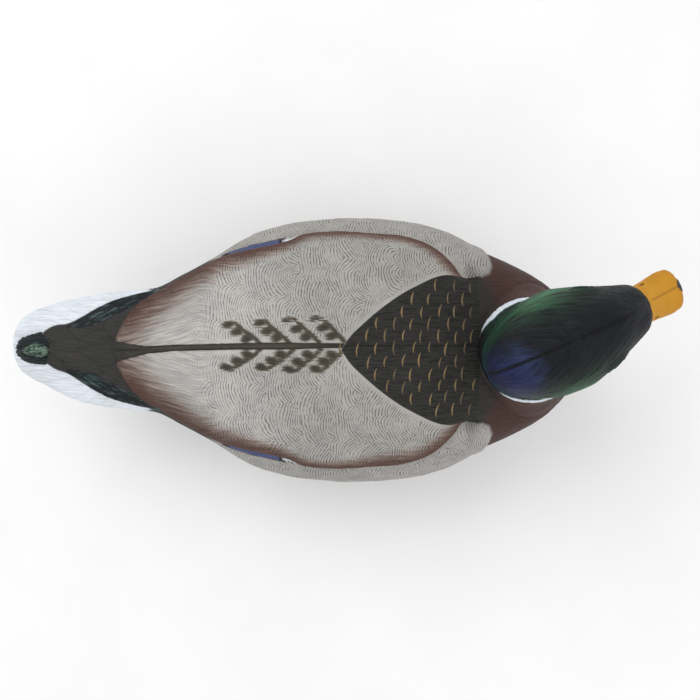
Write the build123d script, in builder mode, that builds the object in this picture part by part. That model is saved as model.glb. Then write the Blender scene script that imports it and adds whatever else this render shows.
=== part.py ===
from build123d import *

import os
from math import cos, pi, radians, sin

# Floating drake mallard decoy: a hollow moulded body on a weighted keel, with a bolted head that turns.
# Millimetres. +X is towards the bird's breast, +Y is its left side and +Z is up.
# The origin is on the surface that the keel stands on, under the middle of the whole decoy.

WALL = 3.0  # moulded wall of the body and of the head
RUNNING = 0.05  # radial clearance of a part that turns, slides or plugs into another
AIR = 0.3  # gap between two faces that pass each other
SECTION_POINTS = 20  # points of one cross-section's outline
BODY_HOLLOW_H, SKULL_HOLLOW_H = 35.0, 25.0  # a section lower than this is left solid

# Body: (x, half width, bottom, height of the widest line, top) at each station, tail to breast.
BODY_STATIONS = (
    (-194, 9, 97, 99.5, 102),
    (-188, 17, 94.5, 99, 103.5),
    (-176, 23.5, 90, 98, 104.5),
    (-157, 31, 81, 96, 105.5),
    (-134, 35.5, 67, 92, 107.5),
    (-112, 38, 53.5, 87, 111),
    (-94, 47, 43.5, 82, 115),
    (-73, 59, 37.5, 77, 119),
    (-48, 73.5, 34.6, 74, 123),
    (-20, 80.3, 34, 73, 126),
    (10, 82.6, 34, 72, 127.5),
    (40, 80.8, 34, 72, 127),
    (66, 74.2, 34.4, 73, 124),
    (88, 63, 36.5, 74, 119),
    (108, 54, 41, 75, 114.5),
    (126, 44, 48.5, 77, 107),
    (141, 30, 59, 79, 98),
    (150, 16, 69.5, 80, 90),
    (153.5, 5, 76.5, 80.5, 84.5),
)

# Tail curl: the knot of curled feathers on top of the tail's end.
CURL_X, CURL_Z = -180.5, 104.0
CURL_HALF_LENGTH, CURL_RADIUS = 12.0, 8.5

# Neck joint: the head turns about a vertical axis.
NECK_X = 114.0
NECK_Z = 122.0  # top face of the body's neck stub
NECK_R = 30.0
# Neck stub: (z, half length, half width, how far its centre is behind the neck's axis) at each level.
STUB_LEVELS = (
    (86.0, 43.0, 46.0, 8.0),
    (99.0, 39.0, 41.0, 5.5),
    (111.0, 33.5, 34.5, 2.5),
    (NECK_Z, 30.5, 30.5, 0.0),
)
SEAT_R, SEAT_BOTTOM, CUP_R, CUP_BOTTOM = 24.0, 110.0, 27.5, 105.0
SPIGOT_R, SPIGOT_BOTTOM = 15.0, 113.0
STOP_R, STOP_PIN_R, STOP_DEPTH = 20.0, 1.8, 4.0
HEAD_SWING = 90.0  # to each side of straight ahead
HEAD_YAW = 24.5  # how far the head is turned to the left as it stands

# Through bolt that clamps the head, and the dry tube it runs in.
BOLT_R, BOLT_END, BOLT_TIP_CHAMFER = 3.0, 25.0, 0.8
BOLT_HEAD_FLATS, BOLT_HEAD_H = 10.0, 4.0
TUBE_R, TUBE_BORE_R, TUBE_FLANGE_R, TUBE_FLANGE_H = 7.0, 3.8, 10.5, 2.0
TUBE_FOOT = 46.0
BOSS_R, BOSS_BOTTOM, BOSS_TOP = 13.0, 38.0, 58.0
ORING_R, GLAND_H = 1.0, 2.2
FOOT_GLAND_Z = 50.0
SEAL_H, SEAL_R = 1.5, 9.0
WASHER_H, WASHER_R = 1.2, 8.0
LOCK_H, LOCK_R, LOCK_SPLIT = 1.5, 5.6, 1.2
NUT_HUB_H, NUT_HUB_R, NUT_TIP_R = 6.5, 6.2, 5.0
NUT_WING_SPAN, NUT_WING_H, NUT_WING_T = 14.0, 11.0, 2.2

# Keel, screwed under the hull.
SEAT_Z = 36.0  # underside of the hull's keel pad
PAD_BACK, PAD_FRONT, PAD_HALF, PAD_TOP = -82.0, 89.0, 27.0, 46.0
PAD_FLOOR, RAIL_WIDTH, PAD_ROUND = 39.5, 11.0, 4.0
GASKET_H = 1.2
FLANGE_H, FLANGE_INSET = 3.0, 1.5
WEB_HALF = 5.0
FOOT_HALF, FOOT_H, FOOT_ROUND = 17.0, 18.0, 5.0
FOOT_BACK, FOOT_FRONT = -66.0, 62.0
BALLAST_R, BALLAST_BACK, BALLAST_FRONT, BALLAST_Z = 6.5, -60.0, 52.0, 9.0
PLUG_H = 6.0
LINE_HOLE_R, LINE_HOLE_Z = 3.5, 24.5
LINE_HOLE_XS = (-72.5, 73.0)
SCREW_XS, SCREW_Y = (-72.0, 3.5, 79.0), 21.0
SCREW_R, SCREW_HEAD_R, SCREW_HEAD_H, SCREW_TIP = 1.75, 3.4, 2.2, 43.5
RECESS_R, RECESS_DEPTH = 1.5, 1.2

# Drain plug, aft of the keel.
DRAIN_X, DRAIN_BOTTOM, DRAIN_TOP, DRAIN_BOSS_R = -114.0, 50.0, 66.0, 10.0
DRAIN_R, DRAIN_HEAD_R, DRAIN_HEAD_H, DRAIN_STEM_TOP = 5.0, 7.5, 3.0, 62.0
DRAIN_SEAL_H = 1.5

# Head, in its own frame: x runs forward from the neck's axis, y to the bird's left.
# Skull: (x, half width, bottom, height of the widest line, top) at each station, nape to forehead.
SKULL_STATIONS = (
    (-31.5, 5, 146, 152, 158),
    (-29, 11, 138, 150, 167),
    (-22, 18, 132, 150, 179),
    (-11, 24, 130, 152, 188),
    (2, 27.5, 131, 155, 194),
    (14, 28, 134, 158, 196.7),
    (26, 25, 138, 161, 196.5),
    (38, 21, 142, 164, 193),
    (47, 17.5, 145.5, 165.5, 187),
    (54, 13.5, 149.5, 166, 179),
    (57.5, 8, 156, 167, 174),
)
BILL_STATIONS = (
    (46, 10, 151, 162, 175),
    (56, 10.6, 149, 158, 169),
    (66, 11.4, 147, 153.5, 161.5),
    (76, 12.4, 144.5, 149, 154.5),
    (82.5, 11.8, 142.5, 146, 150.5),
    (86.5, 8, 142, 144.6, 147.8),
    (88, 3, 142.4, 144.2, 146),
)
# Neck: (z, half length, half width, how far its centre is behind the neck's axis) at each level.
PLUG_FLANGE_R, PLUG_FLANGE_H = 26.0, 7.0
NECK_LEVELS = (
    (NECK_Z + AIR, NECK_R, NECK_R, 0.0),
    (NECK_Z + AIR + PLUG_FLANGE_H, 29.7, 29.0, 0.2),
    (140.0, 29.0, 27.0, 0.8),
    (152.0, 28.0, 25.0, 1.5),
)
EYE_X, EYE_Y, EYE_Z, EYE_R = 31.0, 21.9, 175.0, 4.6
EYE_FORWARD, EYE_UP = 18.0, 15.0  # degrees that the eye looks forward of sideways, and above level
EYE_DEPTH, EYE_DOME = 5.0, 1.8


def outline(half_width, bottom, middle, top):
    """Points round one cross-section: a rounded back over a flatter belly."""
    points = []
    for k in range(SECTION_POINTS):
        c = cos(2 * pi * k / SECTION_POINTS)
        s = sin(2 * pi * k / SECTION_POINTS)
        across = half_width * abs(c) ** 0.92 * (1 if c >= 0 else -1)
        rise = (top - middle) * abs(s) ** 0.95 if s >= 0 else (bottom - middle) * abs(s) ** 0.8
        points.append((across, middle + rise))
    return points


def inset(stations, least_height):
    """The same stations moved inwards by the wall, where they are tall enough for a hollow."""
    roomy = [s for s in stations if s[4] - s[2] > least_height]
    return [(x, w - WALL, b + WALL, m, t - WALL) for x, w, b, m, t in roomy]


def eye_plane(side):
    """The plane of one eye's rim, in the head's frame, facing outwards."""
    forward, up = radians(EYE_FORWARD), radians(EYE_UP)
    outwards = (sin(forward) * cos(up), side * cos(forward) * cos(up), sin(up))
    return Plane((EYE_X, side * EYE_Y, EYE_Z), z_dir=outwards)


os.makedirs("parts", exist_ok=True)
head_frame = Location((NECK_X, 0, 0), (0, 0, HEAD_YAW))
gasket_bottom = SEAT_Z - GASKET_H
flange_bottom = gasket_bottom - FLANGE_H
pad_middle = (PAD_BACK + PAD_FRONT) / 2
pad_length = PAD_FRONT - PAD_BACK
screw_places = [(x, y) for x in SCREW_XS for y in (-SCREW_Y, SCREW_Y)]
bolt_head_bottom = NECK_Z + AIR + PLUG_FLANGE_H - BOLT_HEAD_H
seal_bottom = BOSS_BOTTOM - SEAL_H
washer_bottom = seal_bottom - WASHER_H
lock_bottom = washer_bottom - LOCK_H
nut_bottom = lock_bottom - NUT_HUB_H

# ------------------------------------------------------------------ body
with BuildPart() as body_shell:
    for x, *section in BODY_STATIONS:
        with BuildSketch(Plane.YZ.offset(x)):
            with BuildLine():
                Spline(*outline(*section), periodic=True)
            make_face()
    loft()
    for z, half_length, half_width, back in STUB_LEVELS:  # neck stub, flaring into the breast
        with BuildSketch(Plane.XY.offset(z)):
            with Locations((NECK_X - back, 0)):
                Ellipse(half_length, half_width)
    loft()
    with BuildSketch(Plane.XZ):  # tail curl
        with Locations((CURL_X, CURL_Z)):
            Ellipse(CURL_HALF_LENGTH, CURL_RADIUS)
            Rectangle(
                3 * CURL_HALF_LENGTH,
                3 * CURL_RADIUS,
                align=(Align.CENTER, Align.MAX),
                mode=Mode.SUBTRACT,
            )
    revolve(axis=Axis((CURL_X, 0, CURL_Z), (1, 0, 0)))
    for x, *section in inset(BODY_STATIONS, BODY_HOLLOW_H):
        with BuildSketch(Plane.YZ.offset(x)):
            with BuildLine():
                Spline(*outline(*section), periodic=True)
            make_face()
    loft(mode=Mode.SUBTRACT)
    with BuildSketch(Plane.XY.offset(CUP_BOTTOM)):  # cup that holds the neck seat ring
        with Locations((NECK_X, 0)):
            Circle(CUP_R)
    extrude(amount=NECK_Z - CUP_BOTTOM)
    with BuildSketch(Plane.XY.offset(SEAT_Z)):  # pad that the keel is screwed to
        with Locations((pad_middle, 0)):
            RectangleRounded(pad_length, 2 * PAD_HALF, PAD_ROUND)
    extrude(amount=PAD_TOP - SEAT_Z)
    with BuildSketch(Plane.XY.offset(PAD_FLOOR)):  # trough between the pad's rails
        with Locations((pad_middle, 0)):
            RectangleRounded(pad_length - 2 * RAIL_WIDTH, 2 * (PAD_HALF - RAIL_WIDTH), PAD_ROUND)
    extrude(amount=PAD_TOP - PAD_FLOOR, mode=Mode.SUBTRACT)
    with BuildSketch(Plane.XY.offset(BOSS_BOTTOM)):  # boss that the bolt clamps
        with Locations((NECK_X, 0)):
            Circle(BOSS_R)
    extrude(amount=BOSS_TOP - BOSS_BOTTOM)
    with BuildSketch(Plane.XY.offset(DRAIN_BOTTOM)):
        with Locations((DRAIN_X, 0)):
            Circle(DRAIN_BOSS_R)
    extrude(amount=DRAIN_TOP - DRAIN_BOTTOM)
    with BuildSketch(Plane.XY.offset(SEAT_Z)):  # flat pocket for the gasket and the flange
        with Locations((pad_middle, 0)):
            RectangleRounded(pad_length, 2 * PAD_HALF, PAD_ROUND)
    extrude(amount=-10, mode=Mode.SUBTRACT)
    with Locations((NECK_X, 0, NECK_Z)):
        Hole(SEAT_R, depth=NECK_Z - SEAT_BOTTOM)
    with Locations((NECK_X, 0, SEAT_BOTTOM)):
        Hole(TUBE_R + 2 * ORING_R, depth=GLAND_H)
        Hole(TUBE_R + RUNNING, depth=SEAT_BOTTOM - TUBE_FOOT)
        Hole(BOLT_R + 2 * AIR)
    with BuildSketch(Plane.XY.offset(FOOT_GLAND_Z)):
        with Locations((NECK_X, 0)):
            Circle(TUBE_R + 2 * ORING_R)
    extrude(amount=GLAND_H, mode=Mode.SUBTRACT)
    with Locations((DRAIN_X, 0, DRAIN_TOP)):
        Hole(DRAIN_R + RUNNING, depth=DRAIN_TOP - DRAIN_BOTTOM + 10)
    with Locations(Plane.XY.offset(SCREW_TIP + 1)):
        with Locations(*screw_places):
            Hole(SCREW_R + RUNNING, depth=SCREW_TIP + 1 - SEAT_Z)
body_shell.part.label = "body_shell"
export_step(body_shell.part, "parts/body_shell.step")

# ------------------------------------------------------------------ neck bearing and bolt tube
with BuildPart() as neck_seat_ring:
    with BuildSketch(Plane.XY.offset(SEAT_BOTTOM)):
        with Locations((NECK_X, 0)):
            Circle(SEAT_R - RUNNING)
            Circle(SPIGOT_R + RUNNING, mode=Mode.SUBTRACT)
    extrude(amount=NECK_Z - SEAT_BOTTOM)
    with BuildSketch(Plane.XY.offset(NECK_Z)):  # groove that stops the head at each end of its swing
        with BuildLine(mode=Mode.PRIVATE):
            sweep_line = CenterArc((0, 0), STOP_R, -HEAD_SWING, 2 * HEAD_SWING)
        with Locations((NECK_X, 0)):
            SlotArc(sweep_line, 2 * (STOP_PIN_R + AIR))
    extrude(amount=-STOP_DEPTH, mode=Mode.SUBTRACT)
neck_seat_ring.part.label = "neck_seat_ring"
export_step(neck_seat_ring.part, "parts/neck_seat_ring.step")

with BuildPart() as bolt_tube:
    with BuildSketch(Plane.XY.offset(TUBE_FOOT)):
        with Locations((NECK_X, 0)):
            Circle(TUBE_R)
            Circle(TUBE_BORE_R, mode=Mode.SUBTRACT)
    extrude(amount=SEAT_BOTTOM + TUBE_FLANGE_H - TUBE_FOOT)
    with BuildSketch(Plane.XY.offset(SEAT_BOTTOM)):
        with Locations((NECK_X, 0)):
            Circle(TUBE_FLANGE_R)
            Circle(TUBE_BORE_R, mode=Mode.SUBTRACT)
    extrude(amount=TUBE_FLANGE_H)
bolt_tube.part.label = "bolt_tube"
export_step(bolt_tube.part, "parts/bolt_tube.step")

with BuildPart() as tube_seals:
    for z in (SEAT_BOTTOM - GLAND_H / 2, FOOT_GLAND_Z + GLAND_H / 2):
        with BuildSketch(Plane.XZ):
            with Locations((NECK_X + TUBE_R + ORING_R, z)):
                Circle(ORING_R - RUNNING)
        revolve(axis=Axis((NECK_X, 0, 0), (0, 0, 1)))
tube_seals.part.label = "tube_seals"
export_step(tube_seals.part, "parts/tube_seals.step")

# ------------------------------------------------------------------ keel
with BuildPart() as keel:
    with BuildSketch(Plane.XZ):  # web, in side view
        with BuildLine():
            Polyline(
                (PAD_BACK + FLANGE_INSET, gasket_bottom),
                (PAD_FRONT - FLANGE_INSET, gasket_bottom),
                (PAD_FRONT - FLANGE_INSET, 26),
                (FOOT_FRONT, 4),
                (FOOT_BACK, 4),
                (PAD_BACK + FLANGE_INSET, 18),
                close=True,
            )
        make_face()
    extrude(amount=WEB_HALF, both=True)
    with BuildSketch(Plane.XY.offset(flange_bottom)):
        with Locations((pad_middle, 0)):
            RectangleRounded(pad_length - 2 * FLANGE_INSET, 2 * (PAD_HALF - FLANGE_INSET), PAD_ROUND - 1)
    extrude(amount=FLANGE_H)
    with BuildSketch(Plane.YZ.offset(FOOT_BACK)):  # foot that holds the ballast
        with Locations((0, FOOT_H / 2)):
            RectangleRounded(2 * FOOT_HALF, FOOT_H, FOOT_ROUND)
    extrude(amount=FOOT_FRONT - FOOT_BACK)
    with BuildSketch(Plane.YZ.offset(FOOT_BACK)):
        with Locations((0, BALLAST_Z)):
            Circle(BALLAST_R + RUNNING)
    extrude(amount=BALLAST_FRONT - FOOT_BACK, mode=Mode.SUBTRACT)
    with BuildSketch(Plane.XZ):
        with Locations(*[(x, LINE_HOLE_Z) for x in LINE_HOLE_XS]):
            Circle(LINE_HOLE_R)
    extrude(amount=2 * WEB_HALF, both=True, mode=Mode.SUBTRACT)
    with Locations(Plane.XY.offset(gasket_bottom)):
        with Locations(*screw_places):
            Hole(SCREW_R + AIR, depth=FLANGE_H)
keel.part.label = "keel"
export_step(keel.part, "parts/keel.step")

with BuildPart() as keel_gasket:
    with BuildSketch(Plane.XY.offset(gasket_bottom)):
        with Locations((pad_middle, 0)):
            RectangleRounded(pad_length - 2 * FLANGE_INSET, 2 * (PAD_HALF - FLANGE_INSET), PAD_ROUND - 1)
        with Locations(*screw_places):
            Circle(SCREW_R + AIR, mode=Mode.SUBTRACT)
    extrude(amount=GASKET_H)
keel_gasket.part.label = "keel_gasket"
export_step(keel_gasket.part, "parts/keel_gasket.step")

with BuildPart() as keel_screws:
    with BuildSketch(Plane.XY.offset(flange_bottom)):
        with Locations(*screw_places):
            Circle(SCREW_R)
    extrude(amount=SCREW_TIP - flange_bottom)
    with BuildSketch(Plane.XY.offset(flange_bottom)):
        with Locations(*screw_places):
            Circle(SCREW_HEAD_R)
    extrude(amount=-SCREW_HEAD_H)
    fillet(keel_screws.edges().group_by(Axis.Z)[0], SCREW_HEAD_H * 0.45)
    chamfer(keel_screws.edges().group_by(Axis.Z)[-1], SCREW_R * 0.5)
    with BuildSketch(Plane.XY.offset(flange_bottom - SCREW_HEAD_H)):
        with Locations(*screw_places):
            Rectangle(2 * RECESS_R, 0.7)
            Rectangle(0.7, 2 * RECESS_R)
    extrude(amount=RECESS_DEPTH, mode=Mode.SUBTRACT)
keel_screws.part.label = "keel_screws"
export_step(keel_screws.part, "parts/keel_screws.step")

with BuildPart() as ballast_bar:
    with BuildSketch(Plane.YZ.offset(BALLAST_BACK)):
        with Locations((0, BALLAST_Z)):
            Circle(BALLAST_R)
    extrude(amount=BALLAST_FRONT - AIR - BALLAST_BACK)
    chamfer(ballast_bar.edges(), 0.8)
ballast_bar.part.label = "ballast_bar"
export_step(ballast_bar.part, "parts/ballast_bar.step")

with BuildPart() as keel_plug:
    with BuildSketch(Plane.YZ.offset(FOOT_BACK)):
        with Locations((0, BALLAST_Z)):
            Circle(BALLAST_R)
    extrude(amount=PLUG_H)
    chamfer(keel_plug.edges().group_by(Axis.X)[-1], 0.6)
keel_plug.part.label = "keel_plug"
export_step(keel_plug.part, "parts/keel_plug.step")

# ------------------------------------------------------------------ drain plug
with BuildPart() as drain_plug:
    with BuildSketch(Plane.XY.offset(DRAIN_BOTTOM - DRAIN_SEAL_H - DRAIN_HEAD_H)):
        with Locations((DRAIN_X, 0)):
            Circle(DRAIN_HEAD_R)
    extrude(amount=DRAIN_HEAD_H)
    fillet(drain_plug.edges().group_by(Axis.Z)[0], 1)
    with BuildSketch(Plane.XY.offset(DRAIN_BOTTOM - DRAIN_SEAL_H)):
        with Locations((DRAIN_X, 0)):
            Circle(DRAIN_R)
    extrude(amount=DRAIN_STEM_TOP - DRAIN_BOTTOM + DRAIN_SEAL_H)
    chamfer(drain_plug.edges().group_by(Axis.Z)[-1], 0.8)
drain_plug.part.label = "drain_plug"
export_step(drain_plug.part, "parts/drain_plug.step")

with BuildPart() as drain_seal:
    with BuildSketch(Plane.XY.offset(DRAIN_BOTTOM - DRAIN_SEAL_H)):
        with Locations((DRAIN_X, 0)):
            Circle(DRAIN_HEAD_R - 0.2)
            Circle(DRAIN_R + RUNNING, mode=Mode.SUBTRACT)
    extrude(amount=DRAIN_SEAL_H)
drain_seal.part.label = "drain_seal"
export_step(drain_seal.part, "parts/drain_seal.step")

# ------------------------------------------------------------------ head
with BuildPart() as head_shell:
    for x, *section in SKULL_STATIONS:
        with BuildSketch(Plane.YZ.offset(x)):
            with BuildLine():
                Spline(*outline(*section), periodic=True)
            make_face()
    loft()
    for x, *section in BILL_STATIONS:
        with BuildSketch(Plane.YZ.offset(x)):
            with BuildLine():
                Spline(*outline(*section), periodic=True)
            make_face()
    loft()
    for z, half_length, half_width, back in NECK_LEVELS:
        with BuildSketch(Plane.XY.offset(z)):
            with Locations((-back, 0)):
                Ellipse(half_length, half_width)
    loft()
    for x, *section in inset(SKULL_STATIONS, SKULL_HOLLOW_H):
        with BuildSketch(Plane.YZ.offset(x)):
            with BuildLine():
                Spline(*outline(*section), periodic=True)
            make_face()
    loft(mode=Mode.SUBTRACT)
    for z, half_length, half_width, back in NECK_LEVELS[1:]:
        with BuildSketch(Plane.XY.offset(z)):
            with Locations((-back, 0)):
                Ellipse(half_length - WALL, half_width - WALL)
    loft(mode=Mode.SUBTRACT)
    with Locations((0, 0, NECK_Z + AIR + PLUG_FLANGE_H)):
        Hole(PLUG_FLANGE_R, depth=PLUG_FLANGE_H)
    for side in (-1, 1):  # eye sockets
        with BuildSketch(eye_plane(side)):
            Circle(EYE_R + RUNNING)
        extrude(amount=8, both=True, mode=Mode.SUBTRACT)
head_shell.part.locate(head_frame)
head_shell.part.label = "head_shell"
export_step(head_shell.part, "parts/head_shell.step")

for side, eye_name in ((1, "left_eye"), (-1, "right_eye")):
    with BuildPart() as eye:
        with BuildSketch(eye_plane(side)):
            Circle(EYE_R)
        extrude(amount=-EYE_DEPTH)
        extrude(eye.faces().sort_by(Axis.Y)[-1 if side > 0 else 0], amount=EYE_DOME)
        fillet(eye.faces().sort_by(Axis.Y)[-1 if side > 0 else 0].edges(), EYE_DOME * 0.95)
    eye.part.locate(head_frame)
    eye.part.label = eye_name
    export_step(eye.part, f"parts/{eye_name}.step")

with BuildPart() as neck_plug:
    with BuildSketch(Plane.XY.offset(NECK_Z + AIR)):
        Circle(PLUG_FLANGE_R - RUNNING)
    extrude(amount=PLUG_FLANGE_H)
    with BuildSketch(Plane.XY.offset(NECK_Z + AIR)):
        Circle(SPIGOT_R)
    extrude(amount=SPIGOT_BOTTOM - NECK_Z - AIR)
    with BuildSketch(Plane.XY.offset(NECK_Z + AIR)):  # pin that runs in the stop groove
        with Locations((STOP_R, 0)):
            Circle(STOP_PIN_R)
    extrude(amount=AIR - STOP_DEPTH)
    with BuildSketch(Plane.XY.offset(bolt_head_bottom)):
        RegularPolygon(BOLT_HEAD_FLATS / 2 + RUNNING, 6, major_radius=False)
    extrude(amount=BOLT_HEAD_H, mode=Mode.SUBTRACT)
    with Locations((0, 0, bolt_head_bottom)):
        Hole(BOLT_R + RUNNING)
neck_plug.part.locate(head_frame)
neck_plug.part.label = "neck_plug"
export_step(neck_plug.part, "parts/neck_plug.step")

# ------------------------------------------------------------------ bolt, washers and wing nut
with BuildPart() as head_bolt:
    with BuildSketch(Plane.XY.offset(bolt_head_bottom)):
        RegularPolygon(BOLT_HEAD_FLATS / 2, 6, major_radius=False)
    extrude(amount=BOLT_HEAD_H)
    with BuildSketch(Plane.XY.offset(BOLT_END)):
        Circle(BOLT_R)
    extrude(amount=bolt_head_bottom - BOLT_END)
    chamfer(head_bolt.edges().group_by(Axis.Z)[0], BOLT_TIP_CHAMFER)
head_bolt.part.locate(head_frame)
head_bolt.part.label = "head_bolt"
export_step(head_bolt.part, "parts/head_bolt.step")

with BuildPart() as seal_washer:
    with BuildSketch(Plane.XY.offset(seal_bottom)):
        Circle(SEAL_R)
        Circle(BOLT_R + AIR, mode=Mode.SUBTRACT)
    extrude(amount=SEAL_H)
seal_washer.part.locate(head_frame)
seal_washer.part.label = "seal_washer"
export_step(seal_washer.part, "parts/seal_washer.step")

with BuildPart() as flat_washer:
    with BuildSketch(Plane.XY.offset(washer_bottom)):
        Circle(WASHER_R)
        Circle(BOLT_R + RUNNING, mode=Mode.SUBTRACT)
    extrude(amount=WASHER_H)
flat_washer.part.locate(head_frame)
flat_washer.part.label = "flat_washer"
export_step(flat_washer.part, "parts/flat_washer.step")

with BuildPart() as lock_washer:
    with BuildSketch(Plane.XY.offset(lock_bottom)):
        Circle(LOCK_R)
        Circle(BOLT_R + RUNNING, mode=Mode.SUBTRACT)
        with Locations((LOCK_R, 0)):
            Rectangle(2 * LOCK_R, LOCK_SPLIT, mode=Mode.SUBTRACT)
    extrude(amount=LOCK_H)
lock_washer.part.locate(head_frame)
lock_washer.part.label = "lock_washer"
export_step(lock_washer.part, "parts/lock_washer.step")

with BuildPart() as wing_nut:
    with BuildSketch(Plane.XZ):
        with BuildLine():
            Polyline(
                (0, nut_bottom),
                (NUT_TIP_R, nut_bottom),
                (NUT_HUB_R, lock_bottom - 2),
                (NUT_HUB_R, lock_bottom),
                (0, lock_bottom),
                close=True,
            )
        make_face()
    revolve(axis=Axis.Z)
    with BuildSketch(Plane.XZ) as wings:
        Polygon(
            (0, lock_bottom - 1),
            (NUT_HUB_R - 1, lock_bottom - 1),
            (NUT_WING_SPAN, nut_bottom + 3),
            (NUT_WING_SPAN, lock_bottom - NUT_WING_H),
            (NUT_WING_SPAN - 5, lock_bottom - NUT_WING_H),
            (0, nut_bottom + 1),
            align=None,
        )
        fillet(wings.vertices().filter_by_position(Axis.X, NUT_WING_SPAN - 6, NUT_WING_SPAN + 1), 2)
        mirror(about=Plane.YZ)
    extrude(amount=NUT_WING_T / 2, both=True)
    with Locations((0, 0, lock_bottom)):
        Hole(BOLT_R + RUNNING)
wing_nut.part.locate(head_frame)
wing_nut.part.label = "wing_nut"
export_step(wing_nut.part, "parts/wing_nut.step")
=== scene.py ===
"""Floating drake mallard decoy: its carved, painted skin and every part's finish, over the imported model."""

from math import cos, pi, radians, sin, tau

import bpy
import numpy as np
from mathutils import Matrix, Vector
from mathutils.bvhtree import BVHTree


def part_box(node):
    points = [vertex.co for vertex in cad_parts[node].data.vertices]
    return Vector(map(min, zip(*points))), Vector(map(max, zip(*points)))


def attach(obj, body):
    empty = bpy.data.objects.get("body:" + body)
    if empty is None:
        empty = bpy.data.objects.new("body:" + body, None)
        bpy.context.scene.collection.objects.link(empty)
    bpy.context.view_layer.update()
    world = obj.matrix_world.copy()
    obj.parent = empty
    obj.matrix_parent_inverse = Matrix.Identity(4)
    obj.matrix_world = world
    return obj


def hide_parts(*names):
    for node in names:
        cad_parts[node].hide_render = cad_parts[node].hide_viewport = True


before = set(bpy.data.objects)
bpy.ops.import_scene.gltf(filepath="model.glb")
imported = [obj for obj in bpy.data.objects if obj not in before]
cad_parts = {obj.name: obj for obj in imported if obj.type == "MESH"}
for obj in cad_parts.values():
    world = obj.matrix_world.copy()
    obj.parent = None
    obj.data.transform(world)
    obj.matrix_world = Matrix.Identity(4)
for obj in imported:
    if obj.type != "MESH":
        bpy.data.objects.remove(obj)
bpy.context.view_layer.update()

MM = 0.001
rng = np.random.default_rng(7)

# Body: (x, half width, bottom, height of the widest line, top) in mm at each station, tail to breast.
BODY = np.array([
    (-194, 9, 97, 99.5, 102), (-188, 17, 94.5, 99, 103.5), (-176, 23.5, 90, 98, 104.5),
    (-157, 31, 81, 96, 105.5), (-134, 35.5, 67, 92, 107.5), (-112, 38, 53.5, 87, 111),
    (-94, 47, 43.5, 82, 115), (-73, 59, 37.5, 77, 119), (-48, 73.5, 34.6, 74, 123),
    (-20, 80.3, 34, 73, 126), (10, 82.6, 34, 72, 127.5), (40, 80.8, 34, 72, 127),
    (66, 74.2, 34.4, 73, 124), (88, 63, 36.5, 74, 119), (108, 54, 41, 75, 114.5),
    (126, 44, 48.5, 77, 107), (141, 30, 59, 79, 98), (150, 16, 69.5, 80, 90),
    (153.5, 5, 76.5, 80.5, 84.5),
])
TAIL_END, BREAST_END = BODY[0, 0] - 0.6, BODY[-1, 0] + 0.4
TAIL_ROUND, BREAST_ROUND = 2.6, 2.4  # length of the rounding at each end

# Outlines seen from above, as (x, distance from the middle line) in mm, tail to breast.
WING_EDGE = (
    (-133, 0), (-128, 13), (-121, 24), (-113, 31), (-105, 35.5), (-92, 43.5), (-80, 50), (-66, 56.5),
    (-31, 64), (-18, 69.3), (2, 70.8), (24, 69.3), (40, 68), (53, 64), (62, 58.5), (70, 50.5), (78, 42),
)
MANTLE_EDGE = (
    (4, 0), (9, 7.5), (15, 13.5), (26, 23), (38, 31.5), (49, 37.5), (59, 42), (68, 43.5), (82, 42.5),
)
MANTLE_FRONT = 84
RUMP_EDGE = (
    (-179, 0), (-175, 8), (-168, 13), (-160, 15), (-152, 19.5),
    (-144, 24.5), (-135, 29), (-124, 32.5), (-108, 36.5),
)
COVERT_EDGE = ((-162, 13), (-158, 15), (-150, 16), (-143, 18), (-131, 23.5), (-120, 30), (-112, 36))
# Front edge of the grey flank: x against the distance from the middle line, then against height on the side.
FLANK_TOP = ((41.5, 84), (45, 92), (50.5, 94.5), (57, 93.5), (62, 92))
FLANK_SIDE = ((40, 52), (46, 64), (52, 74), (60, 83), (70, 90), (80, 92))
# Width of the wing's brown border, as (x, width).
BORDER = (
    (-133, 9), (-124, 17), (-114, 27), (-100, 32), (-70, 27), (-45, 17),
    (-20, 12), (20, 11), (50, 12), (62, 13), (74, 10),
)
# Central shaft of the folded wings: (x, distance left of the middle line, half width), tail to mantle.
SHAFT = np.array([
    (-160, -2.0, 13.0), (-146, -1.6, 10.5), (-133, -1.2, 7.0), (-122, -0.6, 4.4), (-111, 0.0, 2.3),
    (-95, 1.2, 1.9), (-60, 2.0, 1.9), (-30, 2.3, 2.1), (5, 2.5, 1.4),
])
# Barred feathers beside the shaft: centres (x, y) of the three bars of each, from the outermost in.
BARRED = (
    ((-61.5, 14.8), (-56.3, 10.6), (-50.1, 6.8)),
    ((-43.0, 15.7), (-38.4, 11.0), (-33.0, 7.2)),
    ((-27.0, 17.3), (-21.4, 12.2), (-15.9, 7.6)),
    ((-11.2, 18.1), (-5.8, 13.0), (-1.2, 8.2)),
    ((-62.6, -10.0), (-56.3, -6.3), (-50.0, -2.6)),
    ((-42.3, -10.0), (-36.0, -6.3), (-30.7, -2.6)),
    ((-26.0, -11.2), (-20.6, -7.0), (-15.0, -2.8)),
    ((-10.5, -11.0), (-5.8, -6.6), (-1.2, -2.8)),
)
BAR_LEAN = 0.22  # how far the bars lean outward, mm in each mm

# The head's own frame has s forward, t left and z up from the neck joint's axis, at HEAD_YAW degrees.
NECK_X, DRAIN_X, HEAD_YAW = 114.0, -114.0, 24.5
HEAD_SEGMENTS = 120
# Neck stub: (z, half length, half width, how far its centre is behind the neck's axis).
STUB = np.array([(86, 43, 46, 8), (99, 39, 41, 5.5), (111, 33.5, 34.5, 2.5), (122, 30.5, 30.5, 0)])
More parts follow.
